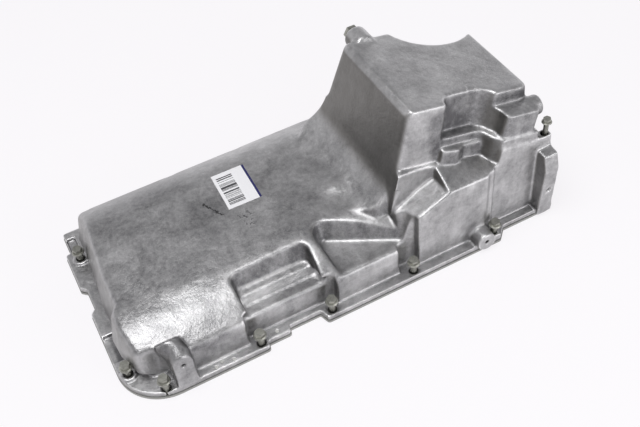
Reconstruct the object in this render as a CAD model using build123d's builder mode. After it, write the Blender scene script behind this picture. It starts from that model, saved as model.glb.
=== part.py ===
from build123d import *
import os
from math import cos, radians, sin, tan

# A cast aluminium engine oil pan with the deep sump at the rear. It lies on its rail, sump up.
# X runs from the front cover end to the bell housing end, the starter side is at -Y,
# and +Z is up as it lies, which is down in the car. Millimetres.

# Rail and gasket
pan_length = 545.0
rail_width = 284.0
rail_thickness = 7.0
rail_ledge = 13.0            # side edge of the rail to the face of the side wall
gasket_thickness = 3.5
gasket_overhang = 0.8
carrier_clearance = 0.5      # the carrier stays this far above the seal's lower face
bead_width = 3.0
opening_margin = 1.0         # how far the seal stays clear of the pan's opening
front_corner_radius = 55.0
edge_radius = 3.0
front_land = 22.5            # front edge of the rail to the foot of the front wall
front_recess = 6.5
front_recess_edges = [106.0, 47.0, 3.0]
front_pockets = [(10.0, -55.0, 20.0, 40.0), (13.0, 116.0, 11.0, 28.0)]
front_pocket_depth = 4.0
notch_depth = 6.5
notch_margin = 7.0           # second bolt to the notch behind it
narrow_depth = 13.0
narrow_lead = 53.0           # narrow stretch, from the third bolt
narrow_margin = 13.0
narrow_flare = 4.0
rear_taper = 12.0
rear_taper_margin = 6.0      # last bolt to the taper behind it
wall = 5.0

# Rail bolts, measured from the front edge
bolt_stations = [41.0, 154.0, 243.0, 350.0, 460.0]
bolt_inset = 8.0
front_bolts = [(11.0, -97.0), (15.0, 90.0)]
bolt_diameter = 8.0
bolt_hole_diameter = 10.5
gasket_hole_diameter = 9.0
bolt_length = 24.0
bolt_flange_diameter = 15.0
bolt_flange_thickness = 2.0
bolt_hex = 10.0
bolt_hex_height = 4.5
bolt_pad_diameter = 19.0
bolt_pad_height = 2.5
tip_clearance = 0.2
leaning_bolt = 4
loose_lean = 5.5             # the one rail bolt that leans in its hole, in degrees

# Gasket rivets on the starter side, from the front edge and from the rail's side edge
rivets = [(98.0, 4.0), (106.0, 8.0), (119.0, 3.5), (175.5, 13.0)]
rivet_diameter = 3.0
rivet_head_diameter = 4.5
rivet_head_height = 1.0

# Shallow front trough
trough_wall_height = 48.0
trough_floor_front = 69.0
trough_floor_rear = 82.0
near_shoulder = 41.0
far_shoulder = 37.0
shoulder_radius = 100.0
wall_corner_radius = 10.0
front_slope = 13.0
front_edge_radius = 9.0

# Sump, measured from the rear face where it isn't a height
sump_height = 207.0
sump_top_slope = 11.6
sump_base_height = 60.0
sump_front = 205.8
sump_front_lean = 32.8
sump_rear = 13.0
sump_rear_lean = 6.5
sump_near_inset = 37.5
sump_near_lean = 2.5
sump_far_inset = 39.0
sump_far_lean = 35.0
sump_corner_radius = 9.0
sump_top_radius = 3.0
sump_front_chamfer = 5.0
ramp_radius = 48.0
ramp_top = 130.0
ramp_draft = 20.0
ramp_outline = [(250, 72), (216, 38), (140, 38), (140, 224), (216, 224), (250, 190)]

# Starter side block under the sump
block_height = 106.0
block_rear = 81.0
block_front_crest = (30.0, 121.0)
block_rear_crest = (26.0, 108.5)
block_edge_radius = 3.0
scoop_front = 200.0
scoop_rear = 145.0
scoop_height = 80.0
rear_panel_inset = 9.5

# Terraces, as (distance from the rear, inset from the wall face)
crest_edge = [(188, 42), (192, 31), (156, 34), (133, 31.5), (113, 27.5), (91, 33), (76.5, 25), (73.5, 11.5)]
lower_terrace_edge = [(134, 32), (115, 28), (104, 34), (82, 33), (73, 27), (69, 9), (17, 9)]
upper_terrace_edge = [(133, 47), (90, 46), (79, 34), (74, 22), (66, 12), (17, 12)]
recess_edge = [(131, 52), (86, 52), (76, 44), (68, 30), (65, -9), (131, -9)]
shelf_edge = [(68, 28), (62, 19), (54, 15.5), (17, 15.5)]
terrace_station = 110.0
crest_height = 116.0
lower_terrace_height = 134.5
upper_terrace_height = 146.0
shelf_height = 176.0
terrace_depth = 60.0
terrace_radius = 2.5
recess_draft = 3.0

# Starter pockets in the front trough, measured from the front edge
pocket_front = 150.0
pocket_rear = 240.0
pocket_inset = 45.0
pocket_floor = 50.0
pocket_draft = 20.0
pocket_side_draft = 6.0
pocket_radius = 9.0
step_inset = 26.0
step_floor = 42.0
step_draft = 45.0
wall_recess_front = 143.0
wall_recess_rear = 254.0
wall_recess_depth = 9.5
second_pocket_outline = [(262, 53), (268, 58.5), (345, 14), (345, -21), (262, -21)]
relief_front = 335.0
relief_rear = 360.0
relief_depth = 10.0
relief_top = 92.0
corner_relief_outline = [(22.5, 118), (31, 15), (57, 15), (57, -21), (-21, -21), (-21, 118)]
corner_relief_radius = 8.0
corner_relief_edge = 6.0

# Bosses on the starter side
front_boss_station = 65.0
front_boss_radius = 12.0
front_boss_height = 43.0
front_boss_rise = 30.0
front_boss_length = 43.0
rear_boss_station = 443.5
rear_boss_radius = 12.0
rear_boss_height = 16.0
rear_boss_projection = 5.0
rear_boss_rail_height = 14.0
boss_setback = 0.5
boss_hole_diameter = 5.0
boss_hole_depth = 14.0

# Rear ears for the bell housing
ear_thickness = 8.5
ear_height = 101.0
ear_bolt_diameter = 8.5
ear_bolt_height = 46.0
ear_inner = 100.0
ear_edge = [(133.0, 101.0), (139.0, 81.0), (137.0, 40.0), (134.7, gasket_thickness)]
ear_shoulder = 70.0
ear_hole_offset = 127.0
lug_inner = 106.5
lug_outer = 119.5
lug_length = 15.0
lug_height = 118.0
far_lug_height = 82.0
lug_thickness = 27.0
rear_bolt_diameter = 6.0
rear_bolt_hole_diameter = 9.0
rear_bolt_setback = 7.5
rear_bolt_offset = 113.0     # either side of the centre line
rear_bolt_length = 130.0
far_rear_bolt_length = 80.0
rear_bolt_tip = 3.0
rear_bolt_lean = 1.2
rear_bar_height = 24.0
stub_diameter = 24.0
stub_centre = 97.0
stub_height = 150.0
stub_length = 8.0

# Oil filter seat on the far side
filter_station = 55.0
filter_inset = 54.0
filter_recess_radius = 58.5
filter_recess_base = 82.0
filter_pad_radius = 38.0
filter_pad_height = 88.0
filter_pad_base = 72.0
filter_boss_radius = 14.0
filter_boss_base = 17.0
filter_groove_radius = 29.0
filter_groove_width = 8.0
filter_groove_depth = 5.0
fitting_diameter = 22.0
fitting_shank_diameter = 20.0
fitting_bore = 15.0
fitting_length = 30.0
fitting_proud = 14.0
fitting_chamfer = 1.0
gallery_diameter = 14.0
gallery_height = 64.0
gallery_boss_diameter = 26.0
gallery_bore = 10.0
gallery_plug_length = 6.0
gallery_plug_wall = 1.5

# Gallery cover on the far side wall
cover_station = 45.0
cover_length = 58.0
cover_width = 28.0
cover_thickness = 5.0
cover_gasket_thickness = 1.0
cover_chamfer = 0.8
cover_pad_thickness = 4.0
cover_height = 31.0
cover_bolt_spacing = 44.0
cover_port_radius = 6.0
cover_port_boss_radius = 12.0
small_bolt_diameter = 6.0
small_bolt_length = 12.0
small_bolt_hex = 8.0
small_bolt_hex_height = 4.0
small_bolt_flange_diameter = 12.0
small_bolt_flange_thickness = 1.5

# Drain
drain_station = 147.0
drain_drop = 12.0             # sump top to the drain plug's axis
drain_boss_radius = 14.0
drain_boss_inset = 55.0
drain_boss_length = 32.4
drain_boss_slant = 30.0
drain_hole_length = 24.0
drain_hole_diameter = 12.0
drain_plug_head = 17.0
drain_plug_head_height = 8.0
drain_plug_length = 14.0
drain_seal_diameter = 20.0
drain_seal_thickness = 1.5
thread_clearance = 0.1
hole_clearance = 0.5

# Baffle over the sump
baffle_thickness = 1.5
baffle_height = 62.0
baffle_boss_diameter = 14.0
baffle_near_edge = [(75, 60), (90, 60), (93, 8), (109, 8), (113, 60), (250, 60)]
baffle_far_edge = [(250, 68), (130, 68), (122, 37), (102, 37), (94, 68), (75, 68)]
baffle_near_bolts = [(240, 75), (101, 14)]
baffle_far_bolts = [(240, 83), (112, 45)]
baffle_boss_tops = [74.0, 104.0, 74.0, 75.0]
baffle_corner_radius = 5.0

# Label on the trough floor
label_width = 42.0
label_length = 61.0
label_thickness = 0.2
label_station = 211.0
label_offset = 40.5
label_turn = -2.0


def from_front(distance):
    return distance - pan_length / 2


def from_rear(distance):
    return pan_length / 2 - distance


def near_points(points, place):
    """Plan points on the starter side, from (distance along, inset from the wall face)."""
    return [(place(along), inset - wall_face) for along, inset in points]


def far_points(points, place):
    """Plan points on the far side, from (distance along, inset from the wall face)."""
    return [(place(along), wall_face - inset) for along, inset in points]


# Values that follow from the sizes above
rail_top = gasket_thickness + rail_thickness
wall_face = rail_width / 2 - rail_ledge
bolt_line = rail_width / 2 - bolt_inset
filter_centre = (from_rear(filter_station), wall_face - filter_inset)
rail_bolt_places = [(from_front(s), side * bolt_line) for side in (-1, 1) for s in bolt_stations]
front_bolt_places = [(from_front(s), y) for s, y in front_bolts]
rear_bolt_places = [(from_rear(rear_bolt_setback), side * rear_bolt_offset) for side in (-1, 1)]
baffle_bolt_places = near_points(baffle_near_bolts, from_rear) + far_points(baffle_far_bolts, from_rear)
rivet_places = [(from_front(s), inset - rail_width / 2) for s, inset in rivets]
fitting_base = filter_pad_height + fitting_proud - fitting_length
cover_x = from_rear(cover_station)
cover_bolt_end = wall_face + cover_pad_thickness - wall - 2
drain_x = from_rear(drain_station)
drain_height = sump_height - drain_drop
drain_face = wall_face - drain_boss_inset


def trough_floor(x):
    """Height of the trough's outer floor, which rises towards the sump."""
    share = (x - from_front(front_land)) / (pan_length - front_land)
    return trough_floor_front + (trough_floor_rear - trough_floor_front) * share


def sump_top_plane(height, station):
    """A plane parallel to the sump's top, at the given height above one station."""
    slope = radians(sump_top_slope)
    return Plane(
        origin=(0, 0, height + from_rear(station) * tan(slope)),
        x_dir=(cos(slope), 0, -sin(slope)),
        z_dir=(sin(slope), 0, cos(slope)),
    )


def along_slope(distance):
    """Place a distance from the rear in a sketch on one of those sloping planes."""
    return from_rear(distance) / cos(radians(sump_top_slope))


def prism(points, plane, height, draft=0.0, radius=0.0, grow=0.0):
    """An extruded outline with rounded corners; grow widens it all round."""
    with BuildPart() as solid:
        with BuildSketch(plane) as outline:
            with BuildLine():
                Polyline(*points, close=True)
            make_face()
            if radius:
                fillet(outline.vertices(), radius)
            if grow:
                offset(amount=grow)
        extrude(amount=height, taper=-draft)
    return solid.part


def trough_section(x, inset, drop):
    """Section of the front trough across the pan, moved inwards by inset and down by drop."""
    floor = trough_floor(x) - drop
    near = wall_face - inset
    with BuildSketch(Plane.YZ.offset(x)) as section:
        with BuildLine():
            Polyline(
                (-near, gasket_thickness if drop == 0 else -wall),
                (-near, trough_wall_height - drop * 0.8),
                (-near + near_shoulder, floor),
                (near - far_shoulder, floor),
                (near, trough_wall_height - drop * 0.8),
                (near, gasket_thickness if drop == 0 else -wall),
                close=True,
            )
        make_face()
        fillet(section.vertices().group_by(Axis.Y)[-1], shoulder_radius - inset)
        fillet(section.vertices().group_by(Axis.Y)[1], wall_corner_radius)
    return section.sketch


def trough(inset=0.0, drop=0.0, front=0.0, rear=0.0):
    """The long shallow body: a lofted section with a sloping front wall."""
    start = from_front(front_land) + front
    end = from_rear(lug_length) - rear
    with BuildPart() as body:
        add(trough_section(start, inset, drop))
        add(trough_section(end, inset, drop))
        loft(ruled=True)
        top = trough_floor_rear * 2
        rise = trough_floor_front - rail_top
        with BuildSketch(Plane.XZ):
            with BuildLine():
                Polyline(
                    (start, -wall * 2),
                    (start, rail_top),
                    (start + front_slope * (top - rail_top) / rise, top),
                    (end + wall, top),
                    (end + wall, -wall * 2),
                    close=True,
                )
            make_face()
        extrude(amount=rail_width, both=True, mode=Mode.INTERSECT)
        front_face = body.faces().filter_by(lambda f: f.normal_at().X < -0.5).sort_by(Axis.Z)[-1]
        fillet(front_face.edges().sort_by(Axis.Z)[-1], front_edge_radius)
    return body.part


def floor_ramp(inset=0.0, drop=0.0):
    """The concave rise of the trough floor into the sump's front wall."""
    lean = sump_front_lean / (sump_height - sump_base_height)
    foot = from_rear(sump_front) + inset
    start = foot - ramp_radius * 2
    corner = foot + (trough_floor(foot) - drop - sump_base_height) * lean
    top = foot + (ramp_top - sump_base_height) * lean
    base = trough_floor_front - drop
    with BuildPart() as body:
        with BuildSketch(Plane.XZ) as profile:
            with BuildLine():
                Polyline(
                    (start, trough_floor(start) - drop),
                    (corner, trough_floor(corner) - drop),
                    (top, ramp_top),
                    (top, base),
                    (start, base),
                    close=True,
                )
            make_face()
            inner_corner = profile.vertices().sort_by_distance((corner, trough_floor(corner) - drop, 0))[0]
            fillet(inner_corner, ramp_radius + inset)
        extrude(amount=rail_width / 2, both=True)
        outline = near_points(ramp_outline, from_rear)
        add(prism(outline, Plane.XY.offset(base), ramp_top, -ramp_draft, 0.0, -inset), mode=Mode.INTERSECT)
    return body.part


def is_recess_corner(edge):
    """True for the two upright outer corners of the starter recess in the sump's near wall."""
    box = edge.bounding_box()
    line = -wall_face + sump_near_inset + sump_near_lean
    return box.min.Z > ramp_top and box.size.Z > box.size.X and box.max.Y < line


def sump(inset=0.0):
    """The deep box over the oil pickup, with drafted walls and a sloping top."""
    rise = sump_height - sump_base_height

    def corner_sketch(level):
        share = (level - sump_base_height) / rise
        front = from_rear(sump_front - sump_front_lean * share) + inset
        rear = from_rear(sump_rear + sump_rear_lean * share) - inset
        near = -wall_face + sump_near_inset + sump_near_lean * share + inset
        far = wall_face - sump_far_inset - sump_far_lean * share - inset
        with BuildSketch(Plane.XY.offset(level)) as outline:
            with BuildLine():
                Polyline((front, near), (rear, near), (rear, far), (front, far), close=True)
            make_face()
            fillet(outline.vertices(), sump_corner_radius)
        return outline.sketch

    with BuildPart() as body:
        add(corner_sketch(sump_base_height))
        add(corner_sketch(sump_height * 1.2))
        loft(ruled=True)
        split(bisect_by=sump_top_plane(sump_height - inset, sump_front - sump_front_lean), keep=Keep.BOTTOM)
        if not inset:
            add(starter_recess(), mode=Mode.SUBTRACT)
            fillet(body.edges().filter_by(is_recess_corner), edge_radius)
            top = body.faces().filter_by(lambda f: f.normal_at().Z > 0.9).sort_by(SortBy.AREA)[-1]
            fillet(top.edges(), sump_top_radius)
            edge = from_rear(sump_front - sump_front_lean) + sump_front_chamfer
            level = sump_height - sump_front_chamfer * tan(radians(sump_top_slope))
            split(bisect_by=Plane(origin=(edge, 0, level), z_dir=(-1, 0, 1)), keep=Keep.BOTTOM)
    return body.part


def starter_recess(grow=0.0):
    """The flat recess beside the starter, cut into the sump's near wall."""
    return prism(
        near_points(recess_edge, along_slope),
        sump_top_plane(upper_terrace_height - grow, terrace_station),
        terrace_depth * 2,
        recess_draft,
        pocket_radius,
        grow,
    )


def terrace(edge, height, inset=0.0):
    """One step under the starter, its top parallel to the sump's top."""
    back = sump_near_inset + wall * 5
    points = near_points(edge + [(edge[-1][0], back), (edge[0][0], back)], along_slope)
    with BuildPart() as step:
        with BuildSketch(sump_top_plane(height - inset, terrace_station)) as outline:
            with BuildLine():
                Polyline(*points, close=True)
            make_face()
            if inset:
                offset(amount=-inset)
        extrude(amount=-terrace_depth)
        if not inset:
            top = step.faces().sort_by(Axis.Z)[-1]
            limit = back - wall_face - edge_radius
            fillet(top.edges().filter_by(lambda e: e.bounding_box().max.Y < limit), terrace_radius)
    return step.part


def block_section(station, crest, inset):
    """Section of the block beside the starter; crest gives its upper edge as (inset, height)."""
    base = -wall * 2 if inset else gasket_thickness
    near = -wall_face + inset
    back = -wall_face + near_shoulder + inset * 2
    with BuildSketch(Plane.YZ.offset(station)) as section:
        with BuildLine():
            Polyline(
                (near, base),
                (near, block_height - inset),
                (near + crest[0], crest[1] - inset),
                (back, crest[1] - inset),
                (back, base),
                close=True,
            )
        make_face()
    return section.sketch


def side_block(inset=0.0):
    """The block beside the starter: a tall panel with a sloping top, and the lower scoop."""
    base = -wall * 2 if inset else gasket_thickness
    near = -wall_face + inset
    back = -wall_face + near_shoulder + inset * 2
    with BuildPart() as body:
        add(block_section(from_rear(scoop_rear) + inset, block_front_crest, inset))
        add(block_section(from_rear(block_rear) - inset, block_rear_crest, inset))
        loft(ruled=True)
        with BuildSketch(Plane.XZ.offset(-back)):
            with BuildLine():
                Polyline(
                    (from_rear(scoop_front) + inset, base),
                    (from_rear(scoop_front) + inset, scoop_height - inset),
                    (from_rear(scoop_rear) + inset, block_height - inset),
                    (from_rear(scoop_rear) + inset, base),
                    close=True,
                )
            make_face()
        extrude(amount=back - near)
        if not inset:
            outer = body.faces().sort_by(Axis.Y)[0]
            fillet(outer.edges().sort_by(Axis.Z)[1:], block_edge_radius)
        with BuildSketch(Plane.XY.offset(base)):
            with BuildLine():
                Polyline(
                    (from_rear(block_rear) - wall, near + rear_panel_inset),
                    (from_rear(lug_length) - inset, near + rear_panel_inset),
                    (from_rear(lug_length) - inset, back),
                    (from_rear(block_rear) - wall, back),
                    close=True,
                )
            make_face()
        extrude(amount=block_height - inset - base)
    return body.part


def flared(front, rear, back, floor, radius, grow):
    """A pocket open towards the starter side, its back sloping more than its ends."""
    outer = -rail_width / 2 - wall * 2
    with BuildPart() as pocket:
        for rise in (0, terrace_depth):
            side = rise * tan(radians(pocket_side_draft)) + grow
            behind = rise * tan(radians(pocket_draft)) + grow
            with BuildSketch(Plane.XY.offset(floor - grow + rise)) as outline:
                with BuildLine():
                    Polyline(
                        (front - side, outer),
                        (front - side, back + behind),
                        (rear + side, back + behind),
                        (rear + side, outer),
                        close=True,
                    )
                make_face()
                fillet(outline.vertices().group_by(Axis.Y)[-1], radius + grow)
        loft(ruled=True)
    return pocket.part


def starter_pocket(grow=0.0):
    """The front pocket: a deep first step and a lower, sloping second one."""
    front = from_front(pocket_front)
    rear = from_front(pocket_rear)
    outer = -rail_width / 2 - grow
    first = -wall_face + pocket_inset
    second = -wall_face + step_inset
    upper = flared(front, rear, first, pocket_floor, pocket_radius, grow)
    lower = prism(
        [(front, second), (rear, second), (rear, outer), (front, outer)],
        Plane.XY.offset(step_floor - grow),
        pocket_floor - step_floor,
        step_draft,
        edge_radius,
        grow,
    )
    with BuildPart() as cutter:
        add(upper)
        add(lower)
    return cutter.part


def second_pocket(grow=0.0):
    """The three-cornered pocket behind the rib."""
    return prism(
        near_points(second_pocket_outline, from_front),
        Plane.XY.offset(pocket_floor - grow),
        terrace_depth,
        pocket_draft,
        edge_radius,
        grow,
    )


def wall_recess(front, rear, depth, top, grow=0.0):
    """A length of side wall that stands back from the bolts."""
    near = -rail_width / 2 - wall * 2
    back = -wall_face + depth
    base = -wall * 2 if grow else rail_top
    corners = [(front, near), (rear, near), (rear, back), (front, back)]
    return prism(
        [(from_front(along), y) for along, y in corners],
        Plane.XY.offset(base),
        top + grow - base,
        0.0,
        edge_radius,
        grow,
    )


def corner_relief(grow=0.0):
    """The near front corner, where the wall turns in behind the rail."""
    base = -wall * 2 if grow else rail_top
    return prism(
        near_points(corner_relief_outline, from_front),
        Plane.XY.offset(base),
        trough_floor_rear * 2,
        0.0,
        corner_relief_radius,
        grow,
    )


def front_trough():
    """The outside of the trough with its near front corner turned in and rounded."""
    limit = Vector(from_front(front_boss_station), near_shoulder - wall_face, rail_top * 3)
    with BuildPart() as body:
        add(trough())
        add(corner_relief(), mode=Mode.SUBTRACT)
        rim = body.edges().filter_by(lambda e: e.bounding_box().min.Z > limit.Z)
        rim = rim.filter_by(lambda e: e.bounding_box().max.X < limit.X)
        rim = rim.filter_by(lambda e: e.bounding_box().max.Y < limit.Y)
        fillet(rim, corner_relief_edge)
    return body.part


def filter_recess(grow=0.0):
    """The round recess for the oil filter, open at the far rear corner."""
    with BuildPart() as recess:
        with BuildSketch(Plane.XY.offset(filter_recess_base - grow)):
            with Locations(filter_centre):
                Circle(filter_recess_radius + grow)
        extrude(amount=sump_height)
    return recess.part


def bolt_scallops(grow=0.0):
    """Round clearances in the walls beside the rail bolts."""
    base = -wall * 2 if grow else rail_top
    with BuildPart() as scallops:
        with BuildSketch(Plane.XY.offset(base)):
            with Locations(rail_bolt_places):
                Circle(bolt_pad_diameter / 2 + grow)
        extrude(amount=sump_height)
    return scallops.part


def cutters(grow=0.0):
    """All that is taken from the outside; grow gives the metal kept behind it."""
    rear_start = pan_length - block_rear
    with BuildPart() as tools:
        add(starter_pocket(grow))
        add(second_pocket(grow))
        add(wall_recess(wall_recess_front, wall_recess_rear, wall_recess_depth, trough_floor_front, grow))
        add(wall_recess(relief_front, relief_rear, relief_depth, relief_top, grow))
        add(wall_recess(rear_start, pan_length + wall, rear_panel_inset, sump_height, grow))
        add(corner_relief(grow))
        add(filter_recess(grow))
        add(starter_recess(grow))
        add(bolt_scallops(grow))
    return tools.part


def body_forms(inset=0.0):
    """Trough, side block, terraces and sump as one solid, outside or moved inwards."""
    with BuildPart() as body:
        add(trough(inset, inset, inset * 1.3, inset) if inset else front_trough())
        add(floor_ramp(inset, inset))
        add(side_block(inset))
        add(sump(inset))
        add(terrace(crest_edge, crest_height, inset))
        add(terrace(lower_terrace_edge, lower_terrace_height, inset))
        add(terrace(upper_terrace_edge, upper_terrace_height, inset))
        add(terrace(shelf_edge, shelf_height, inset))
    return body.part


def cavity():
    """The inside of the pan, one wall thickness behind everything outside."""
    with BuildPart() as hollow:
        add(body_forms(wall))
        add(cutters(wall), mode=Mode.SUBTRACT)
    return hollow.part


def rail_outline(grow=0.0):
    """Outline of the rail, with its narrow stretch beside the starter."""
    near = -rail_width / 2
    far = rail_width / 2
    front = from_front(0)
    rear = from_rear(0)
    notch = from_front(bolt_stations[1] + notch_margin)
    narrow = from_front(bolt_stations[2] - narrow_lead)
    narrow_end = from_front(bolt_stations[2] - narrow_margin)
    taper = from_front(bolt_stations[-1] + rear_taper_margin)
    with BuildSketch() as outline:
        with BuildLine():
            Polyline(
                (front, near),
                (notch, near),
                (notch, near + notch_depth),
                (narrow, near + notch_depth),
                (narrow, near + narrow_depth),
                (narrow_end, near + narrow_depth),
                (narrow_end + narrow_flare, near),
                (taper, near),
                (taper + rear_taper, near + rear_taper),
                (rear, near + rear_taper),
                (rear, far - rear_taper),
                (taper + rear_taper, far - rear_taper),
                (taper, far),
                (front + front_recess, far),
                (front + front_recess, front_recess_edges[0]),
                (front, front_recess_edges[0]),
                (front, front_recess_edges[1]),
                (front + front_recess, front_recess_edges[1] - front_recess),
                (front + front_recess, front_recess_edges[2] + front_recess),
                (front, front_recess_edges[2]),
                close=True,
            )
        make_face()
        corner = outline.vertices().sort_by_distance((front, near, 0))[0]
        fillet([v for v in outline.vertices() if v != corner], edge_radius)
        corner = outline.vertices().sort_by_distance((front, near, 0))[0]
        fillet(corner, front_corner_radius)
        if grow:
            offset(amount=grow)
    return outline.sketch


def wall_outline(inset):
    """Plan of the outer walls, moved inwards, which is what the seal follows."""
    rear_start = pan_length - block_rear
    rear_end = pan_length - lug_length
    far = wall_face * 2
    points = [(front_land, far), (front_land, corner_relief_outline[0][1])]
    points += [corner_relief_outline[1], corner_relief_outline[2], (corner_relief_outline[2][0], 0)]
    points += [(wall_recess_front, 0), (wall_recess_front, wall_recess_depth)]
    points += [(wall_recess_rear, wall_recess_depth), (wall_recess_rear, 0), (rear_start, 0)]
    points += [(rear_start, rear_panel_inset), (rear_end, rear_panel_inset), (rear_end, far)]
    with BuildSketch() as outline:
        with BuildLine():
            Polyline(*near_points(points, from_front), close=True)
        make_face()
        offset(amount=-inset)
        fillet(outline.vertices(), edge_radius)
    return outline.sketch


def side_ear(side):
    """One bell housing ear with its lug, standing at a rear corner of the rail."""
    front = from_rear(ear_thickness)
    top = lug_height if side < 0 else far_lug_height
    edge = [(lug_inner, lug_height), (lug_outer, lug_height), (lug_outer, ear_height)]
    edge += ear_edge + [(ear_inner, gasket_thickness), (ear_inner, ear_shoulder)]
    with BuildPart() as ear:
        with BuildSketch(Plane.YZ.offset(front)) as plate:
            with BuildLine():
                Polyline(*[(side * y, z) for y, z in edge], close=True)
            make_face()
            fillet(plate.vertices(), edge_radius)
        extrude(amount=ear_thickness)
        split(bisect_by=Plane.XY.offset(top), keep=Keep.BOTTOM)
        with BuildSketch(Plane.XY.offset(top - lug_thickness)):
            with Locations((from_rear(lug_length / 2), side * (lug_inner + lug_outer) / 2)):
                Rectangle(lug_length, lug_outer - lug_inner)
        extrude(amount=lug_thickness)
    return ear.part


def starter_stub():
    """The round stub that sticks out at the rear of the shelf."""
    with BuildPart() as stub:
        with BuildSketch(Plane.YZ.offset(from_rear(stub_length))):
            with Locations((-stub_centre, stub_height)):
                Circle(stub_diameter / 2)
        extrude(amount=-stub_length * 3)
    return stub.part


def front_boss():
    """The small arched boss that climbs the shoulder near the front."""
    x = from_front(front_boss_station)
    face = -rail_width / 2 + boss_setback
    rise = radians(front_boss_rise)
    axis = Plane(origin=(x, face, front_boss_height), x_dir=(1, 0, 0), z_dir=(0, cos(rise), sin(rise)))
    with BuildPart() as boss:
        with BuildSketch(axis.offset(-front_boss_radius)):
            Circle(front_boss_radius)
        extrude(amount=front_boss_length)
        with BuildSketch(Plane.XY.offset(gasket_thickness)):
            with Locations((x, (face - wall_face) / 2)):
                Rectangle(front_boss_radius * 2, -wall_face - face + wall)
        extrude(amount=front_boss_height - gasket_thickness)
        split(bisect_by=Plane.XZ.offset(-face), keep=Keep.BOTTOM)
    return boss.part


def rear_boss():
    """The boss low on the starter side, beside the last rail bolt, and the thick rail around it."""
    x = from_front(rear_boss_station)
    face = -rail_width / 2 - rear_boss_projection
    start = from_front(rear_boss_station - rear_boss_radius)
    end = from_front(bolt_stations[-1] + rear_taper_margin)
    with BuildPart() as boss:
        with BuildSketch(Plane.XZ.offset(-face)):
            with Locations((x, rear_boss_height)):
                Circle(rear_boss_radius)
        extrude(amount=-wall_face - face + wall, both=False, dir=(0, 1, 0))
        with BuildSketch(Plane.XY.offset(gasket_thickness)):
            with Locations(((start + end) / 2, -rail_width / 2 + rail_ledge / 2)):
                Rectangle(end - start, rail_ledge)
        extrude(amount=rear_boss_rail_height - gasket_thickness)
    return boss.part


def upright(places, radius, base, top):
    """Upright round solids at the given places."""
    with BuildPart() as posts:
        with BuildSketch(Plane.XY.offset(base)):
            with Locations(places):
                Circle(radius)
        extrude(amount=top - base)
    return posts.part


def across(x, y, z, radius, length):
    """A round solid along Y, starting at y and running by length."""
    with BuildPart() as rod:
        with BuildSketch(Plane(origin=(x, y, z), x_dir=(1, 0, 0), z_dir=(0, 1, 0))):
            Circle(radius)
        extrude(amount=length)
    return rod.part


def lengthwise(x, y, z, radius, length):
    """A round solid along X, starting at x and running by length."""
    with BuildPart() as rod:
        with BuildSketch(Plane(origin=(x, y, z), x_dir=(0, 1, 0), z_dir=(1, 0, 0))):
            Circle(radius)
        extrude(amount=length)
    return rod.part


def filter_seat():
    """Pad, centre boss, gallery boss and port boss of the oil filter."""
    x, y = filter_centre
    with BuildPart() as seat:
        add(upright([filter_centre], filter_pad_radius, filter_pad_base, filter_pad_height))
        add(upright([filter_centre], filter_boss_radius, filter_boss_base, filter_pad_height))
        add(lengthwise(x, y, gallery_height, gallery_boss_diameter / 2, filter_station - lug_length - 1))
        add(across(cover_x, y, cover_height, cover_port_boss_radius, wall_face - y))
        with BuildSketch(Plane.XZ.offset(-wall_face - cover_pad_thickness)):
            with Locations((cover_x, cover_height)):
                RectangleRounded(cover_length, cover_width, cover_width / 2 - 1)
        extrude(amount=cover_pad_thickness + wall - 1)
    return seat.part


def filter_bores():
    """Groove, centre bore, gallery and port behind the oil filter."""
    x, y = filter_centre
    inner = filter_groove_radius - filter_groove_width / 2
    outer = filter_groove_radius + filter_groove_width / 2
    with BuildPart() as bores:
        with BuildSketch(Plane.XY.offset(filter_pad_height)):
            with Locations(filter_centre):
                Circle(outer)
                Circle(inner, mode=Mode.SUBTRACT)
        extrude(amount=-filter_groove_depth)
        add(upright([filter_centre], fitting_shank_diameter / 2, fitting_base, filter_pad_height + wall))
        add(upright([filter_centre], gallery_bore / 2, cover_height - cover_port_radius, fitting_base))
        add(lengthwise(x, y, gallery_height, gallery_diameter / 2, filter_station))
        add(across(cover_x, y, cover_height, cover_port_radius, rail_width / 2))
        for side in (-1, 1):
            place = cover_x + side * cover_bolt_spacing / 2
            add(across(place, cover_bolt_end, cover_height, small_bolt_diameter / 2, small_bolt_length))
    return bores.part


def drain_boss():
    """The boss across the far top edge of the sump, cut off at a slant on its inner end."""
    start = drain_face - drain_boss_length
    slant = radians(drain_boss_slant)
    with BuildPart() as boss:
        reach = drain_boss_length + drain_boss_radius
        add(across(drain_x, drain_face - reach, drain_height, drain_boss_radius, reach))
        cut = Plane(origin=(0, start, drain_height), x_dir=(1, 0, 0), z_dir=(0, -cos(slant), sin(slant)))
        split(bisect_by=cut, keep=Keep.BOTTOM)
    return boss.part


def outside_bosses():
    """All that stands on the outer walls and the rail."""
    with BuildPart() as bosses:
        with BuildSketch(Plane.XY.offset(gasket_thickness)):
            add(rail_outline())
        extrude(amount=rail_thickness)
        add(upright(front_bolt_places, bolt_pad_diameter / 2, gasket_thickness, rail_top + bolt_pad_height))
        with BuildSketch(Plane.XY.offset(gasket_thickness)):
            with Locations((from_rear(ear_thickness / 2), 0)):
                Rectangle(ear_thickness, ear_inner * 2)
        extrude(amount=rear_bar_height - gasket_thickness)
        add(side_ear(-1))
        add(side_ear(1))
        add(front_boss())
        add(rear_boss())
        for along, y, length, width in front_pockets:
            with BuildSketch(Plane.XY.offset(rail_top)):
                with Locations((from_front(along), y)):
                    RectangleRounded(length, width, edge_radius)
            extrude(amount=-front_pocket_depth, mode=Mode.SUBTRACT)
    return bosses.part


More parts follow.
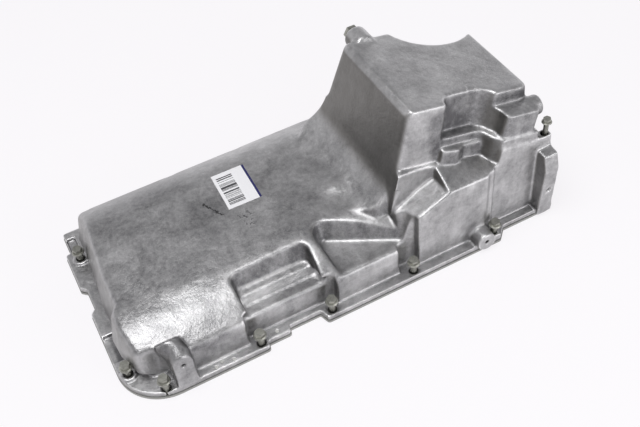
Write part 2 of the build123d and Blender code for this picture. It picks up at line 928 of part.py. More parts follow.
def holes():
    """Every drilled hole except those of the oil filter."""
    boss_reach = rail_width / 2 + boss_hole_depth
    hole_top = baffle_height + baffle_thickness + small_bolt_length
    ear_x = from_rear(ear_thickness * 2)
    with BuildPart() as drilled:
        add(upright(rail_bolt_places + front_bolt_places, bolt_hole_diameter / 2, 0, rail_top * 2))
        add(upright(rear_bolt_places, rear_bolt_hole_diameter / 2, 0, lug_height + wall))
        add(upright(rivet_places, rivet_diameter / 2, 0, rail_top * 2))
        add(upright(baffle_bolt_places, small_bolt_diameter / 2, baffle_height, hole_top))
        for side in (-1, 1):
            y = side * ear_hole_offset
            add(lengthwise(ear_x, y, ear_bolt_height, ear_bolt_diameter / 2, ear_thickness * 3))
        x = from_front(front_boss_station)
        add(across(x, -rail_width, front_boss_height, boss_hole_diameter / 2, boss_reach))
        x = from_front(rear_boss_station)
        boss_reach -= rear_boss_projection
        add(across(x, -rail_width, rear_boss_height, boss_hole_diameter / 2, boss_reach))
        start = drain_face - drain_hole_length
        add(across(drain_x, start, drain_height, drain_hole_diameter / 2, drain_boss_length))
    return drilled.part


def flange_bolt(size, length, hexagon, hex_height, flange, flange_height):
    """A hex flange bolt with its tip at the origin, pointing down."""
    with BuildPart() as bolt:
        Cylinder(size / 2, length, align=(Align.CENTER, Align.CENTER, Align.MIN))
        chamfer(bolt.edges().sort_by(Axis.Z)[0], size / 10)
        with Locations((0, 0, length)):
            Cylinder(flange / 2, flange_height, align=(Align.CENTER, Align.CENTER, Align.MIN))
        rim = bolt.edges().filter_by(GeomType.CIRCLE).sort_by(Axis.Z)[-1]
        chamfer(rim, flange_height * 0.6)
        with BuildSketch(Plane.XY.offset(length + flange_height)):
            RegularPolygon(hexagon / 2, 6, major_radius=False)
        extrude(amount=hex_height)
    return bolt.part


with BuildPart() as casting:
    add(body_forms())
    add(cutters(), mode=Mode.SUBTRACT)
    add(outside_bosses())
    add(starter_stub())
    add(drain_boss())
    add(cavity(), mode=Mode.SUBTRACT)
    add(filter_seat())
    for place, top in zip(baffle_bolt_places, baffle_boss_tops):
        add(upright([place], baffle_boss_diameter / 2, baffle_height + baffle_thickness, top))
    add(filter_bores(), mode=Mode.SUBTRACT)
    add(holes(), mode=Mode.SUBTRACT)
casting.part.label = "pan_casting"

with BuildPart() as carrier:
    with BuildSketch(Plane.XY.offset(carrier_clearance)):
        add(rail_outline(gasket_overhang))
        add(wall_outline(opening_margin), mode=Mode.SUBTRACT)
        with Locations(rail_bolt_places + front_bolt_places + rear_bolt_places):
            Circle(gasket_hole_diameter / 2, mode=Mode.SUBTRACT)
        with Locations(rivet_places):
            Circle(rivet_diameter / 2, mode=Mode.SUBTRACT)
    extrude(amount=gasket_thickness - carrier_clearance)
carrier.part.label = "gasket_carrier"

with BuildPart() as bead:
    with BuildSketch():
        add(wall_outline(opening_margin))
        add(wall_outline(opening_margin + bead_width), mode=Mode.SUBTRACT)
    extrude(amount=gasket_thickness)
bead.part.label = "gasket_bead"

with BuildPart() as rivet_set:
    with BuildSketch(Plane.XY.offset(carrier_clearance)):
        with Locations(rivet_places):
            Circle(rivet_diameter / 2 - thread_clearance)
    extrude(amount=rail_top - carrier_clearance)
    with BuildSketch(Plane.XY.offset(rail_top)):
        with Locations(rivet_places):
            Circle(rivet_head_diameter / 2)
    extrude(amount=rivet_head_height, taper=30)
rivet_set.part.label = "gasket_rivets"

rail_bolt = flange_bolt(bolt_diameter, bolt_length, bolt_hex, bolt_hex_height,
                        bolt_flange_diameter, bolt_flange_thickness)
with BuildPart() as rail_bolts:
    for number, place in enumerate(rail_bolt_places[:leaning_bolt] + rail_bolt_places[leaning_bolt + 1:]):
        add(rail_bolt.moved(Location((*place, tip_clearance), (0, 0, number * 17))))
    for place in front_bolt_places:
        add(rail_bolt.moved(Location((*place, tip_clearance))))
    pivot = Location((*rail_bolt_places[leaning_bolt], gasket_thickness))
    lean = Location((0, 0, 0), (0, loose_lean, 0))
    add(rail_bolt.moved(pivot * lean * Location((0, 0, tip_clearance - gasket_thickness))))
rail_bolts.part.label = "rail_bolts"

with BuildPart() as rear_bolts:
    for place, length, top in zip(
        rear_bolt_places, (rear_bolt_length, far_rear_bolt_length), (lug_height, far_lug_height)
    ):
        rear_bolt = flange_bolt(rear_bolt_diameter, length, small_bolt_hex, small_bolt_hex_height,
                                small_bolt_flange_diameter, small_bolt_flange_thickness)
        pivot = Location((*place, top / 2))
        lean = Location((0, 0, 0), (0, rear_bolt_lean, 0))
        add(rear_bolt.moved(pivot * lean * Location((0, 0, rear_bolt_tip - top / 2))))
rear_bolts.part.label = "rear_bolts"

label_x = from_front(label_station)
label_rise = trough_floor(label_x + 1) - trough_floor(label_x)
with BuildPart() as label:
    floor = Plane(
        origin=(label_x, label_offset, trough_floor(label_x)),
        x_dir=(1, 0, label_rise),
        z_dir=(-label_rise, 0, 1),
    )
    with BuildSketch(floor):
        Rectangle(label_width, label_length, rotation=label_turn)
    extrude(amount=label_thickness)
label.part.label = "label"

with BuildPart() as fitting:
    shank = fitting_shank_diameter / 2 - thread_clearance
    add(upright([filter_centre], shank, fitting_base, filter_pad_height))
    fitting_top = filter_pad_height + fitting_proud
    add(upright([filter_centre], fitting_diameter / 2, filter_pad_height, fitting_top))
    chamfer(fitting.edges().group_by(Axis.Z)[-1], fitting_chamfer)
    add(upright([filter_centre], fitting_bore / 2, fitting_base, fitting_top), mode=Mode.SUBTRACT)
fitting.part.label = "filter_fitting"

seat_y = wall_face + cover_pad_thickness
with BuildPart() as cover_gasket:
    with BuildSketch(Plane.XZ.offset(-seat_y)):
        with Locations((cover_x, cover_height)):
            RectangleRounded(cover_length, cover_width, cover_width / 2 - 1)
            Circle(cover_port_radius + hole_clearance, mode=Mode.SUBTRACT)
            with GridLocations(cover_bolt_spacing, 0, 2, 1):
                Circle(small_bolt_diameter / 2 + hole_clearance, mode=Mode.SUBTRACT)
    extrude(amount=-cover_gasket_thickness)
cover_gasket.part.label = "gallery_gasket"

with BuildPart() as cover:
    with BuildSketch(Plane.XZ.offset(-seat_y - cover_gasket_thickness)):
        with Locations((cover_x, cover_height)):
            RectangleRounded(cover_length, cover_width, cover_width / 2 - 1)
            with GridLocations(cover_bolt_spacing, 0, 2, 1):
                Circle(small_bolt_diameter / 2 + hole_clearance, mode=Mode.SUBTRACT)
    extrude(amount=-cover_thickness)
    outer_face = cover.faces().sort_by(Axis.Y)[-1]
    chamfer(outer_face.outer_wire().edges(), cover_chamfer)
cover.part.label = "gallery_cover"

small_bolt = flange_bolt(small_bolt_diameter - thread_clearance * 2, small_bolt_length, small_bolt_hex,
                         small_bolt_hex_height, small_bolt_flange_diameter, small_bolt_flange_thickness)
with BuildPart() as cover_bolts:
    for side in (-1, 1):
        tip = seat_y + cover_gasket_thickness + cover_thickness - small_bolt_length
        spot = Location((cover_x + side * cover_bolt_spacing / 2, tip, cover_height), (-90, 0, 0))
        add(small_bolt.moved(spot))
cover_bolts.part.label = "gallery_bolts"

with BuildPart() as gallery_plug:
    end = from_rear(lug_length) - hole_clearance
    bore = gallery_diameter / 2 - thread_clearance / 2
    y, z = filter_centre[1], gallery_height
    add(lengthwise(end - gallery_plug_length, y, z, bore, gallery_plug_length))
    hollow = gallery_plug_length - gallery_plug_wall
    add(lengthwise(end - hollow, y, z, bore - gallery_plug_wall, hollow), mode=Mode.SUBTRACT)
gallery_plug.part.label = "gallery_plug"

with BuildPart() as drain_seal:
    add(across(drain_x, drain_face, drain_height, drain_seal_diameter / 2, drain_seal_thickness))
    bore = drain_hole_diameter / 2 + hole_clearance / 2
    add(across(drain_x, drain_face, drain_height, bore, drain_seal_thickness), mode=Mode.SUBTRACT)
drain_seal.part.label = "drain_seal"

with BuildPart() as drain_plug:
    head_start = drain_face + drain_seal_thickness
    shank = drain_hole_diameter / 2 - thread_clearance
    add(across(drain_x, head_start - drain_plug_length, drain_height, shank, drain_plug_length))
    with BuildSketch(Plane.XZ.offset(-head_start)):
        with Locations((drain_x, drain_height)):
            RegularPolygon(drain_plug_head / 2, 6, major_radius=False)
    extrude(amount=-drain_plug_head_height)
    chamfer(drain_plug.edges().sort_by(Axis.Y)[-6:], fitting_chamfer)
drain_plug.part.label = "drain_plug"

with BuildPart() as baffle:
    with BuildSketch(Plane.XY.offset(baffle_height)) as sheet:
        with BuildLine():
            near_side = near_points(baffle_near_edge, from_rear)
            Polyline(*near_side, *far_points(baffle_far_edge, from_rear), close=True)
        make_face()
        fillet(sheet.vertices(), baffle_corner_radius)
        with Locations(baffle_bolt_places):
            Circle(small_bolt_diameter / 2 + hole_clearance, mode=Mode.SUBTRACT)
    extrude(amount=baffle_thickness)
baffle.part.label = "baffle"

with BuildPart() as sheet_bolts:
    for place in baffle_bolt_places:
        tip = Location((*place, baffle_height + small_bolt_length), (180, 0, 0))
        add(small_bolt.moved(tip))
sheet_bolts.part.label = "baffle_bolts"

os.makedirs("parts", exist_ok=True)
export_step(casting.part, "parts/pan_casting.step")
export_step(carrier.part, "parts/gasket_carrier.step")
export_step(bead.part, "parts/gasket_bead.step")
export_step(rivet_set.part, "parts/gasket_rivets.step")
export_step(rail_bolts.part, "parts/rail_bolts.step")
export_step(rear_bolts.part, "parts/rear_bolts.step")
export_step(label.part, "parts/label.step")
export_step(fitting.part, "parts/filter_fitting.step")
export_step(cover_gasket.part, "parts/gallery_gasket.step")
export_step(cover.part, "parts/gallery_cover.step")
export_step(cover_bolts.part, "parts/gallery_bolts.step")
export_step(gallery_plug.part, "parts/gallery_plug.step")
export_step(drain_seal.part, "parts/drain_seal.step")
export_step(drain_plug.part, "parts/drain_plug.step")
export_step(baffle.part, "parts/baffle.step")
export_step(sheet_bolts.part, "parts/baffle_bolts.step")
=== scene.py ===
import bpy
import bmesh
import math
from mathutils import Matrix, Vector

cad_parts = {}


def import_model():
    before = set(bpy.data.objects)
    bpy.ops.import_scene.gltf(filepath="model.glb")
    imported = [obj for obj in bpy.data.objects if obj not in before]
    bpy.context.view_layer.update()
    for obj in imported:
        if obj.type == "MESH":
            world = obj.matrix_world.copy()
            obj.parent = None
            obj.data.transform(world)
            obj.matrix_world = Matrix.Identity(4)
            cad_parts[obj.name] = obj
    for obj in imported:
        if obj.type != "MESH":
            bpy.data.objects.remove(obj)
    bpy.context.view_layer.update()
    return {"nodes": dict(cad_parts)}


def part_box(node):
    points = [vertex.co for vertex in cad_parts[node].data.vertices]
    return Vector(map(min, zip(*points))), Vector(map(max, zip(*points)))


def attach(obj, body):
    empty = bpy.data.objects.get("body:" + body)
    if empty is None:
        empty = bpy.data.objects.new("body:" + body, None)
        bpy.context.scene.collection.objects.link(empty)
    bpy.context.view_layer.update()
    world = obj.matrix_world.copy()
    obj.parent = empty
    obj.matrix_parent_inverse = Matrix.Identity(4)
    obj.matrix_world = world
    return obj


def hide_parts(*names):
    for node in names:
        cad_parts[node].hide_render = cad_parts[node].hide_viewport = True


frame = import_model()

# The soft skin of the casting, in metres
merge_distance = 0.00001
skin_voxel = 0.0011
softening = 0.5
machined_softening = 2          # smoothing rounds on the whole casting
cast_softening = 48             # and on what stands above the rail
rail_clear = (0.013, 0.022)     # heights between which the softening sets in
casting_triangles = 190000

# The near bell housing ear and its lug, as thick as in the photograph
near_ear_front = 0.2525
near_ear_back = 0.2665
near_lug_back = 0.2585
near_ear_outline = [(-0.1185, 0.0035), (-0.1345, 0.0035), (-0.1368, 0.040), (-0.1388, 0.080),
                    (-0.1330, 0.1005), (-0.1185, 0.1005)]
near_lug_outline = [(-0.107, 0.091), (-0.1193, 0.091), (-0.1193, 0.1178), (-0.107, 0.1178)]
ear_hole = (0.2625, 0.046)
ear_hole_radius = 0.0034
ear_hole_depth = 0.005
ear_face = (0.129, 0.132)

# Low forms of the trough: a flat swell, a knuckle by the second pocket, and the kinked front wall
swell_place = (-0.168, 0.005)
swell_radii = (0.063, 0.092)
swell_height = 0.0018
swell_floor = (0.05, 0.058)
swell_ceiling = (0.08, 0.09)
knuckle_place = (0.036, -0.022)
knuckle_radius = 0.016
knuckle_height = 0.0045
knuckle_floor = (0.055, 0.065)
front_wall_line = [(-0.130, 0.0), (-0.118, 0.008), (-0.080, 0.0165), (-0.056, 0.016), (-0.046, 0.0095),
                   (-0.001, 0.0092), (0.047, 0.005), (0.102, 0.0)]
front_wall_fade = (-0.218, -0.170)
front_wall_foot = (0.0125, 0.022)

# Marks on the casting: ellipses on the plan as (centre, radii, softness, strength)
trough_stains = [((-0.112, 0.012), (0.045, 0.075), 0.8, 1.0),
                 ((-0.165, -0.035), (0.05, 0.04), 0.9, 0.7),
                 ((-0.175, 0.085), (0.10, 0.07), 0.8, 0.8)]
speck_patch = ((-0.071, -0.012), (0.014, 0.026), 0.7)
gouge_ends = ((-0.107, 0.036), (-0.0925, 0.006))
gouge_width = 0.0013
gouge_raggedness = 0.011
ring_place = (0.190, -0.070)
ring_radius = 0.0055
trough_top = (0.075, 0.1)
# Heights above which the sump's upward faces are painted lighter: painted light
sump_top_painted_light = (0.15, 0.2)

# Label
label_turn = -2
strip_start = (0.0182, 0.0184)
bar_width = 0.00062
bar_share = 0.48
bars_across = (-0.0172, -0.0170, 0.0028, 0.0030)
bars_along = (-0.0252, -0.0250, 0.0250, 0.0252)

# Floor and room
floor_size = 6.0
floor_depth = -0.0002
floor_glow = 0.8                # share of plain white in what the floor shows
room_light = 0.40               # overhead; the room is white at the horizon
horizon_band = (0.19, 0.40)

# Camera: azimuth, elevation and tilt in degrees
camera_angles = (-22.74, 47.37, -6.7)
camera_place = (-0.2650, -0.6921, 0.8289)
camera_lens = 50.46


# Shader maths as Python expressions

class Sock:
    """A shader socket that can be added, multiplied and compared like a number."""

    def __init__(self, tree, socket):
        self.tree = tree
        self.socket = socket

    def math(self, operation, *others, swap=False):
        values = [self, *others]
        if swap:
            values = [*others, self]
        return node(self.tree, "ShaderNodeMath", {"operation": operation}, dict(enumerate(values)))

    def __add__(self, other):
        return self.math("ADD", other)

    def __radd__(self, other):
        return self.math("ADD", other, swap=True)

    def __sub__(self, other):
        return self.math("SUBTRACT", other)

    def __rsub__(self, other):
        return self.math("SUBTRACT", other, swap=True)

    def __mul__(self, other):
        return self.math("MULTIPLY", other)

    def __rmul__(self, other):
        return self.math("MULTIPLY", other, swap=True)

    def __truediv__(self, other):
        return self.math("DIVIDE", other)

    def __abs__(self):
        return self.math("ABSOLUTE")

    def clamped(self):
        return node(self.tree, "ShaderNodeClamp", {}, {"Value": self})

    def between(self, low, high):
        """0 below low, 1 above high, and a smooth rise between them."""
        settings = {"interpolation_type": "SMOOTHSTEP"}
        values = {"Value": self, "From Min": low, "From Max": high}
        return node(self.tree, "ShaderNodeMapRange", settings, values)

    def within(self, rise_start, rise_end, fall_start, fall_end):
        """1 in the middle of a stretch, 0 outside it."""
        return self.between(rise_start, rise_end) * (1 - self.between(fall_start, fall_end))


def node(tree, kind, settings, values, output=0):
    """Add a node, set it up, feed its sockets and return one of its outputs."""
    made = tree.nodes.new(kind)
    for name, value in settings.items():
        setattr(made, name, value)
    for name, value in values.items():
        if isinstance(value, Sock):
            tree.links.new(value.socket, made.inputs[name])
        else:
            made.inputs[name].default_value = value
    return Sock(tree, made.outputs[output])


def parts_of(tree, vector):
    """The three numbers of a vector socket."""
    split = tree.nodes.new("ShaderNodeSeparateXYZ")
    tree.links.new(vector, split.inputs[0])
    return [Sock(tree, split.outputs[i]) for i in range(3)]


class Finish:
    """One material, with the pieces that its expressions need."""

    def __init__(self, name, **plain):
        self.material = bpy.data.materials.new(name)
        self.material.use_nodes = True
        self.tree = self.material.node_tree
        self.shader = self.tree.nodes["Principled BSDF"]
        for key, value in plain.items():
            self.set(key.replace("_", " "), value)
        self.place = node(self.tree, "ShaderNodeTexCoord", {}, {}, "Object")
        self.x, self.y, self.z = parts_of(self.tree, self.place.socket)
        geometry = self.tree.nodes.new("ShaderNodeNewGeometry")
        self.curve = Sock(self.tree, geometry.outputs["Pointiness"])
        self.nx, self.ny, self.nz = parts_of(self.tree, geometry.outputs["Normal"])

    def set(self, key, value):
        if isinstance(value, Sock):
            self.tree.links.new(value.socket, self.shader.inputs[key])
        else:
            self.shader.inputs[key].default_value = value

    def moved(self, stretch=(1, 1, 1), shift=(0, 0, 0)):
        values = {"Vector": self.place, "Scale": stretch, "Location": shift}
        return node(self.tree, "ShaderNodeMapping", {}, values)

    def noise(self, scale, detail=3.0, rough=0.5, stretch=(1, 1, 1), shift=(0, 0, 0), twist=0.0):
        values = {"Vector": self.moved(stretch, shift), "Scale": scale, "Detail": detail,
                  "Roughness": rough, "Distortion": twist}
        return node(self.tree, "ShaderNodeTexNoise", {}, values)

    def mixed(self, share, first, second):
        """The first colour where the share is 0, the second where it is 1."""
        made = self.tree.nodes.new("ShaderNodeMix")
        made.data_type = "RGBA"
        sockets = [made.inputs[0], made.inputs[6], made.inputs[7]]
        for target, value in zip(sockets, (share, first, second)):
            if isinstance(value, Sock):
                self.tree.links.new(value.socket, target)
            elif isinstance(value, tuple):
                target.default_value = (*value, 1.0)
            else:
                target.default_value = value
        return Sock(self.tree, made.outputs[2])

    def painted_edge_highlight(self):
        """Share by which rounded edges are painted brighter, a painted highlight."""
        return self.curve.between(0.505, 0.56)

    def painted_hollow_shade(self):
        """Share by which the inner corners are painted darker, a painted shade."""
        return 1 - self.curve.between(0.43, 0.495)

    def bump(self, height, distance, strength=1.0, under=None):
        values = {"Height": height, "Distance": distance, "Strength": strength}
        if under is not None:
            values["Normal"] = under
        return node(self.tree, "ShaderNodeBump", {}, values)


def blob(finish, centre, radii, soft=0.5):
    """1 inside an upright ellipse on the plan, falling to 0 at its edge."""
    dx = (finish.x - centre[0]) / radii[0]
    dy = (finish.y - centre[1]) / radii[1]
    return 1 - (dx * dx + dy * dy).math("SQRT").between(1 - soft, 1)


def scratch(finish, start, end, width, ragged):
    """1 along a line on the plan, 0 past its width, with a ragged edge."""
    (ax, ay), (bx, by) = start, end
    length = math.hypot(bx - ax, by - ay)
    ux, uy = (bx - ax) / length, (by - ay) / length
    along = (finish.x - ax) * ux + (finish.y - ay) * uy
    aside = (finish.y - ay) * ux - (finish.x - ax) * uy
    inside = along.between(-width, width) * (1 - along.between(length - width, length + width))
    aside = aside + (finish.noise(260, 3, 0.7) - 0.5) * ragged
    return inside * (1 - abs(aside).between(width * 0.5, width))


def cast_ring(finish):
    """A plain raised ring on the sump's top, with no writing in it."""
    dx = finish.x - ring_place[0]
    dy = finish.y - ring_place[1]
    away = (dx * dx + dy * dy).math("SQRT")
    return (1 - abs(away - ring_radius).between(0.0004, 0.0012)) * finish.z.between(0.18, 0.19) * 0.6


def trough_marks(f, upward, patches, fine):
    """Stains, specks and the gouge on the trough's floor."""
    trough = upward * (1 - f.z.between(*trough_top))
    stain = 0.0
    for centre, radii, soft, strength in trough_stains:
        stain = blob(f, centre, radii, soft) * strength + stain
    stain = (stain * patches.between(0.25, 0.6)).clamped() * trough
    specks = blob(f, *speck_patch) * fine.between(0.52, 0.6) * trough
    gouge = scratch(f, *gouge_ends, gouge_width, gouge_raggedness) * trough
    return stain, specks, gouge


def shaded_walls(f, upward):
    """Walls that see little of the room: in the starter pockets, the sump's recess and by the boss."""
    steep = 1 - upward
    inboard = f.y.between(-0.118, -0.112)
    starter = inboard * f.x.within(-0.135, -0.125, 0.07, 0.08) * steep * (1 - f.z.between(0.08, 0.09))
    recess = f.x.between(0.12, 0.13) * f.z.within(0.10, 0.11, 0.185, 0.195) * steep
    recess = recess * f.y.within(-0.118, -0.112, -0.05, -0.04)
    by_boss = (1 - f.x.between(-0.185, -0.125)) * (1 - f.y.between(-0.120, -0.112)) * steep
    pocket = f.x.within(-0.268, -0.264, -0.244, -0.240) * f.y.within(-0.085, -0.078, -0.036, -0.030)
    pocket = pocket * (1 - f.z.between(0.009, 0.0105))
    return starter * 0.5 + recess * 0.4 + by_boss * 0.25 + pocket * 0.6


def cast_aluminium():
    """Sand-cast metal: cloudy grey with stains on the trough; painted shade on the faces that look forward,
    on shaded walls and in inner corners; painted highlights on rounded edges; a painted lighter top on the
    sump.
    """
    f = Finish("cast_aluminium", Metallic=1.0)
    clouds = f.noise(16, 5, 0.6, twist=0.6)
    patches = f.noise(42, 5, 0.62, shift=(3, 1, 2), twist=0.8)
    fine = f.noise(190, 4, 0.7)
    grain = f.noise(900, 3, 0.65)
    runs = f.noise(40, 5, 0.7, stretch=(1, 1, 0.14), twist=0.3)
    upward = f.nz.between(0.35, 0.85)
    forward = (0 - f.nx).between(0.45, 0.95) * (1 - upward)
    tone = 0.52 + (clouds - 0.5) * 1.0 + (patches - 0.5) * 0.7
    tone = tone + (fine - 0.5) * 0.6 + (grain - 0.5) * 0.45
    # Streaks run down the steep faces; upward faces on the sump's top are painted lighter, a painted light
    tone = tone + (1 - upward) * (runs - 0.5) * 0.7 + upward * f.z.between(*sump_top_painted_light) * 0.16
    stain, specks, gouge = trough_marks(f, upward, patches, fine)
    dark = (stain * 0.36 + specks * 0.8 + gouge * 0.6 + shaded_walls(f, upward)).clamped()
    # Rounded edges are painted brighter: a painted highlight in the colour, and a little smoother
    edges = f.painted_edge_highlight()
    # Inner corners are painted darker here: painted shade
    tone = (tone - dark * 0.8 + edges * 0.45 - f.painted_hollow_shade() * 0.4).clamped()
    grey = f.mixed(tone, (0.15, 0.149, 0.155), (0.74, 0.735, 0.74))
    # Faces that look forward are painted darker, more so higher up: painted shade
    painted_front_shade = forward * (0.40 + 0.42 * f.z.between(0.06, 0.11))
    grey = f.mixed(painted_front_shade, grey, (0.12, 0.115, 0.104))
    grey = f.mixed(gouge * 0.7, grey, (0.05, 0.05, 0.05))
    f.set("Base Color", grey)
    rough = 0.39 + (clouds - 0.5) * 0.25 + (fine - 0.5) * 0.3 + (grain - 0.5) * 0.2 + dark * 0.15
    f.set("Roughness", (rough - edges * 0.08).clamped())
    coarse = f.bump(patches + cast_ring(f), 0.0012, 0.5)
    skin = f.bump(fine, 0.0006, 0.8, coarse)
    f.set("Normal", f.bump(grain, 0.00018, 0.9, skin))
    return f.material


def zinc():
    """Zinc plate with an olive cast."""
    f = Finish("zinc_plated_steel", Metallic=1.0)
    clouds = f.noise(120, 4, 0.65)
    spots = f.noise(480, 3, 0.6)
    # Rounded edges of the bolts are painted brighter: a painted highlight
    tone = (0.5 + (clouds - 0.5) * 1.1 + (spots - 0.5) * 0.6 + f.painted_edge_highlight() * 0.3).clamped()
    f.set("Base Color", f.mixed(tone, (0.12, 0.12, 0.105), (0.44, 0.44, 0.40)))
    f.set("Roughness", (0.30 + clouds * 0.25).clamped())
    f.set("Normal", f.bump(spots, 0.0001, 0.8))
    return f.material


def plain_finish(name, metallic, grain, colours, rough, spread):
    """A finish of one fine grain between two close colours, rougher where it is lighter."""
    f = Finish(name, Metallic=metallic)
    spots = f.noise(*grain)
    f.set("Base Color", f.mixed(spots, *colours))
    f.set("Roughness", rough + spots * spread)
    return f.material


def label_paper():
    """White paper with a dark blue strip along one side and plain made-up bars."""
    f = Finish("label_paper", Roughness=0.45)
    low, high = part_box("label")
    turn = math.radians(label_turn)
    dx = f.x - (low[0] + high[0]) / 2
    dy = f.y - (low[1] + high[1]) / 2
    across = dx * math.cos(turn) + dy * math.sin(turn)
    along = dy * math.cos(turn) - dx * math.sin(turn)
    slot = (along / bar_width).math("FLOOR")
    chance = node(f.tree, "ShaderNodeTexWhiteNoise", {"noise_dimensions": "1D"}, {"W": slot})
    bars = (chance - bar_share).math("GREATER_THAN", 0.0)
    field = across.within(*bars_across) * along.within(*bars_along)
    fibre = f.noise(500, 2)
    paper = f.mixed(fibre, (0.84, 0.84, 0.87), (0.93, 0.93, 0.94))
    printed = f.mixed(bars * field, paper, (0.06, 0.06, 0.065))
    f.set("Base Color", f.mixed(across.between(*strip_start), printed, (0.015, 0.015, 0.11)))
    return f.material


def dress(name, material):
    """Give a CAD node its finish."""
    mesh = frame["nodes"][name].data
    mesh.materials.clear()
    mesh.materials.append(material)


def rise(value, low, high):
    """0 below low, 1 above high, and a smooth rise between them."""
    share = min(max((value - low) / (high - low), 0), 1)
    return share * share * (3 - 2 * share)


def smooth_share(place):
    """How much a point of the casting is softened: not at all on the rail."""
    return rise(place.z, *rail_clear)


def front_shift(y):
    """How far the trough's front wall stands forward of the plain wall, at a place across the pan."""
    for (y0, shift0), (y1, shift1) in zip(front_wall_line, front_wall_line[1:]):
        if y0 <= y <= y1:
            return shift0 + (shift1 - shift0) * (y - y0) / (y1 - y0)
    return 0.0


def shaped(place):
    """A point of the casting after the kinked front wall and the two low swells of the trough floor."""
    x, y, z = place
    out = math.hypot((x - swell_place[0]) / swell_radii[0], (y - swell_place[1]) / swell_radii[1])
    lift = swell_height * (1 - rise(out, 0.7, 1.0)) * rise(z, *swell_floor) * (1 - rise(z, *swell_ceiling))
    away = math.hypot(x - knuckle_place[0], y - knuckle_place[1]) / knuckle_radius
    lift += knuckle_height * math.exp(-away * away) * rise(z, *knuckle_floor)
    forward = front_shift(y) * (1 - rise(x, *front_wall_fade)) * rise(z, *front_wall_foot)
    from_hole = math.hypot(x - ear_hole[0], z - ear_hole[1])
    open_share = 1 - rise(from_hole, ear_hole_radius * 0.6, ear_hole_radius)
    bored = ear_hole_depth * open_share * rise(-y, *ear_face)
    return Vector((x - forward, y + bored, z + lift))


def prism(shape, outline, front, back):
    """Add a closed block: an outline of (across, up) points, drawn out along the pan."""
    ends = [[shape.verts.new((x, y, z)) for y, z in outline] for x in (front, back)]
    faces = [shape.faces.new(ends[0]), shape.faces.new(list(reversed(ends[1])))]
    for i in range(len(outline)):
        j = (i + 1) % len(outline)
        faces.append(shape.faces.new((ends[0][i], ends[1][i], ends[1][j], ends[0][j])))
    bmesh.ops.recalc_face_normals(shape, faces=faces)


def cast_pan(material):
    """The casting again with the soft edges of a sand casting, in the same place and size."""
    source = frame["nodes"]["pan_casting"]
    low, high = (Vector(corner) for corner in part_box("pan_casting"))
    mesh = source.data.copy()
    mesh.name = "cast_pan"
    skin = bmesh.new()
    skin.from_mesh(mesh)
    bmesh.ops.remove_doubles(skin, verts=skin.verts, dist=merge_distance)
    prism(skin, near_ear_outline, near_ear_front, near_ear_back)
    prism(skin, near_lug_outline, near_ear_front, near_lug_back)
    skin.to_mesh(mesh)
    skin.free()
    pan = bpy.data.objects.new("cast_pan", mesh)
    bpy.context.collection.objects.link(pan)
    remesh = pan.modifiers.new("skin", "REMESH")
    remesh.mode = "VOXEL"
    remesh.voxel_size = skin_voxel
    pan.data = evaluated(pan)
    upper = pan.vertex_groups.new(name="upper")
    for point in pan.data.vertices:
        upper.add([point.index], smooth_share(point.co), "REPLACE")
    for group, rounds in (("", machined_softening), ("upper", cast_softening)):
        soften = pan.modifiers.new("soften", "SMOOTH")
        soften.factor = softening
        soften.iterations = rounds
        soften.vertex_group = group
    pan.data = evaluated(pan)
    for point in pan.data.vertices:
        point.co = shaped(point.co)
    thin = pan.modifiers.new("thin", "DECIMATE")
    thin.ratio = casting_triangles / (2 * len(pan.data.polygons))
    pan.data = evaluated(pan)
    for point in pan.data.vertices:
        point.co = Vector(min(max(c, a), b) for c, a, b in zip(point.co, low, high))
    pan.data.shade_smooth()
    pan.data.materials.clear()
    pan.data.materials.append(material)
    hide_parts("pan_casting")
    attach(pan, "root")


def evaluated(piece):
    """The piece's mesh with its modifiers in it, which are then taken off."""
    graph = bpy.context.evaluated_depsgraph_get()
    mesh = bpy.data.meshes.new_from_object(piece.evaluated_get(graph))
    piece.modifiers.clear()
    return mesh


cast_pan(cast_aluminium())
steel = plain_finish("gasket_carrier_steel", 0.8, (120, 3, 0.6),
                     ((0.28, 0.28, 0.27), (0.42, 0.42, 0.40)), 0.4, 0.2)
rubber = plain_finish("seal_rubber", 0.0, (200, 3, 0.6), ((0.02, 0.02, 0.022), (0.05, 0.05, 0.055)), 0.5, 0.2)
plastic = plain_finish("rivet_plastic", 0.0, (300, 2), ((0.45, 0.45, 0.43), (0.6, 0.6, 0.58)), 0.4, 0.1)
sheet = plain_finish("sheet_steel", 1.0, (60, 3, 0.6, (0.1, 1, 1)),
                     ((0.40, 0.40, 0.40), (0.58, 0.58, 0.58)), 0.3, 0.2)
machined = plain_finish("machined_aluminium", 1.0, (90, 3, 0.6, (1, 1, 0.1)),
                        ((0.55, 0.55, 0.55), (0.72, 0.72, 0.72)), 0.25, 0.2)
finishes = [
    (steel, ["gasket_carrier"]),
    (rubber, ["gasket_bead", "gallery_gasket", "drain_seal"]),
    (plastic, ["gasket_rivets"]),
    (zinc(), ["rail_bolts", "rear_bolts", "gallery_bolts", "baffle_bolts", "drain_plug", "filter_fitting"]),
    (sheet, ["baffle", "gallery_plug"]),
    (machined, ["gallery_cover"]),
    (label_paper(), ["label"]),
]
for finish, names in finishes:
    for name in names:
        dress(name, finish)


# Floor, light and camera

def seen_white(tree):
    """1 for what the camera, the metal and anything clear see directly."""
    path = tree.nodes.new("ShaderNodeLightPath")
    camera_ray, glossy, through = (Sock(tree, path.outputs[name]) for name in
                                   ("Is Camera Ray", "Is Glossy Ray", "Is Transmission Ray"))
    return camera_ray + glossy + through


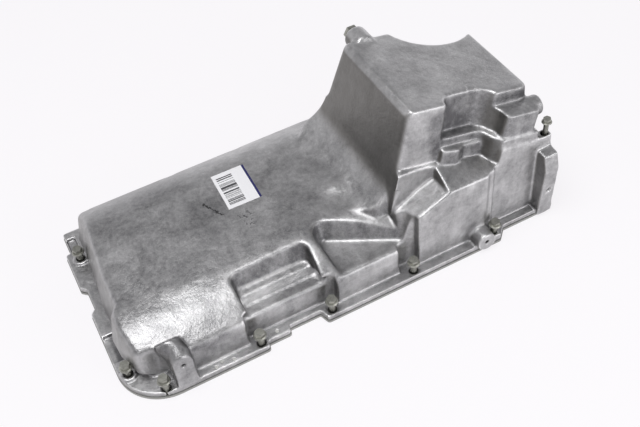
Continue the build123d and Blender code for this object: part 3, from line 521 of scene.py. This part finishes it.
def floor():
    """A plain pale floor that shows white and keeps the object's shadow."""
    mesh = bpy.data.meshes.new("floor")
    sides = [(-1, -1), (1, -1), (1, 1), (-1, 1)]
    corners = [(x * floor_size, y * floor_size, floor_depth) for x, y in sides]
    mesh.from_pydata(corners, [], [(0, 1, 2, 3)])
    ground = bpy.data.objects.new("floor", mesh)
    bpy.context.collection.objects.link(ground)
    material = bpy.data.materials.new("floor_pale")
    material.use_nodes = True
    tree = material.node_tree
    shader = tree.nodes["Principled BSDF"]
    shader.inputs["Base Color"].default_value = (0.90, 0.90, 0.91, 1)
    shader.inputs["Roughness"].default_value = 0.9
    glow = tree.nodes.new("ShaderNodeEmission")
    glow.inputs["Color"].default_value = (0.985, 0.965, 0.99, 1)
    glow.inputs["Strength"].default_value = 1.02
    mix = tree.nodes.new("ShaderNodeMixShader")
    tree.links.new((seen_white(tree) * floor_glow).socket, mix.inputs[0])
    tree.links.new(shader.outputs[0], mix.inputs[1])
    tree.links.new(glow.outputs[0], mix.inputs[2])
    tree.links.new(mix.outputs[0], tree.nodes["Material Output"].inputs["Surface"])
    mesh.materials.append(material)


def world():
    """A soft room, white at the horizon and dimmer overhead."""
    studio = bpy.data.worlds.new("studio")
    bpy.context.scene.world = studio
    studio.use_nodes = True
    tree = studio.node_tree
    back = tree.nodes["Background"]
    back.inputs["Color"].default_value = (0.97, 0.965, 0.985, 1)
    direction = node(tree, "ShaderNodeTexCoord", {}, {}, "Generated")
    overhead = parts_of(tree, direction.socket)[2].between(*horizon_band)
    tree.links.new((1 - overhead * (1 - room_light)).socket, back.inputs["Strength"])


def softbox(name, place, target, size, power):
    """A square lamp at a place, turned to its target."""
    lamp = bpy.data.lights.new(name, "AREA")
    lamp.shape = "RECTANGLE"
    lamp.size, lamp.size_y = size
    lamp.energy = power
    holder = bpy.data.objects.new(name, lamp)
    holder.location = place
    holder.rotation_euler = (Vector(target) - Vector(place)).to_track_quat("-Z", "Y").to_euler()
    bpy.context.collection.objects.link(holder)


def camera():
    """The photograph's view."""
    turn, lift, tilt = (math.radians(angle) for angle in camera_angles)
    back = Vector((math.sin(turn) * math.cos(lift), -math.cos(turn) * math.cos(lift), math.sin(lift)))
    right = Vector((math.cos(turn), math.sin(turn), 0))
    up = back.cross(right)
    flat = Matrix((right, up, back)).transposed()
    lens = bpy.data.cameras.new("photo_camera")
    lens.lens = camera_lens
    lens.sensor_width = 36.0
    lens.clip_start = 0.01
    holder = bpy.data.objects.new("photo_camera", lens)
    turned = flat @ Matrix.Rotation(tilt, 3, "Z")
    holder.matrix_world = Matrix.Translation(camera_place) @ turned.to_4x4()
    bpy.context.collection.objects.link(holder)
    bpy.context.scene.camera = holder


bpy.context.scene.view_settings.view_transform = "Standard"
floor()
world()
softbox("top_light", (-0.42, -0.2, 1.65), (0, 0, 0.05), (1.0, 0.75), 14)
softbox("near_light", (0.7, -1.4, 0.6), (0.05, 0, 0.08), (1.2, 0.6), 7)
camera()
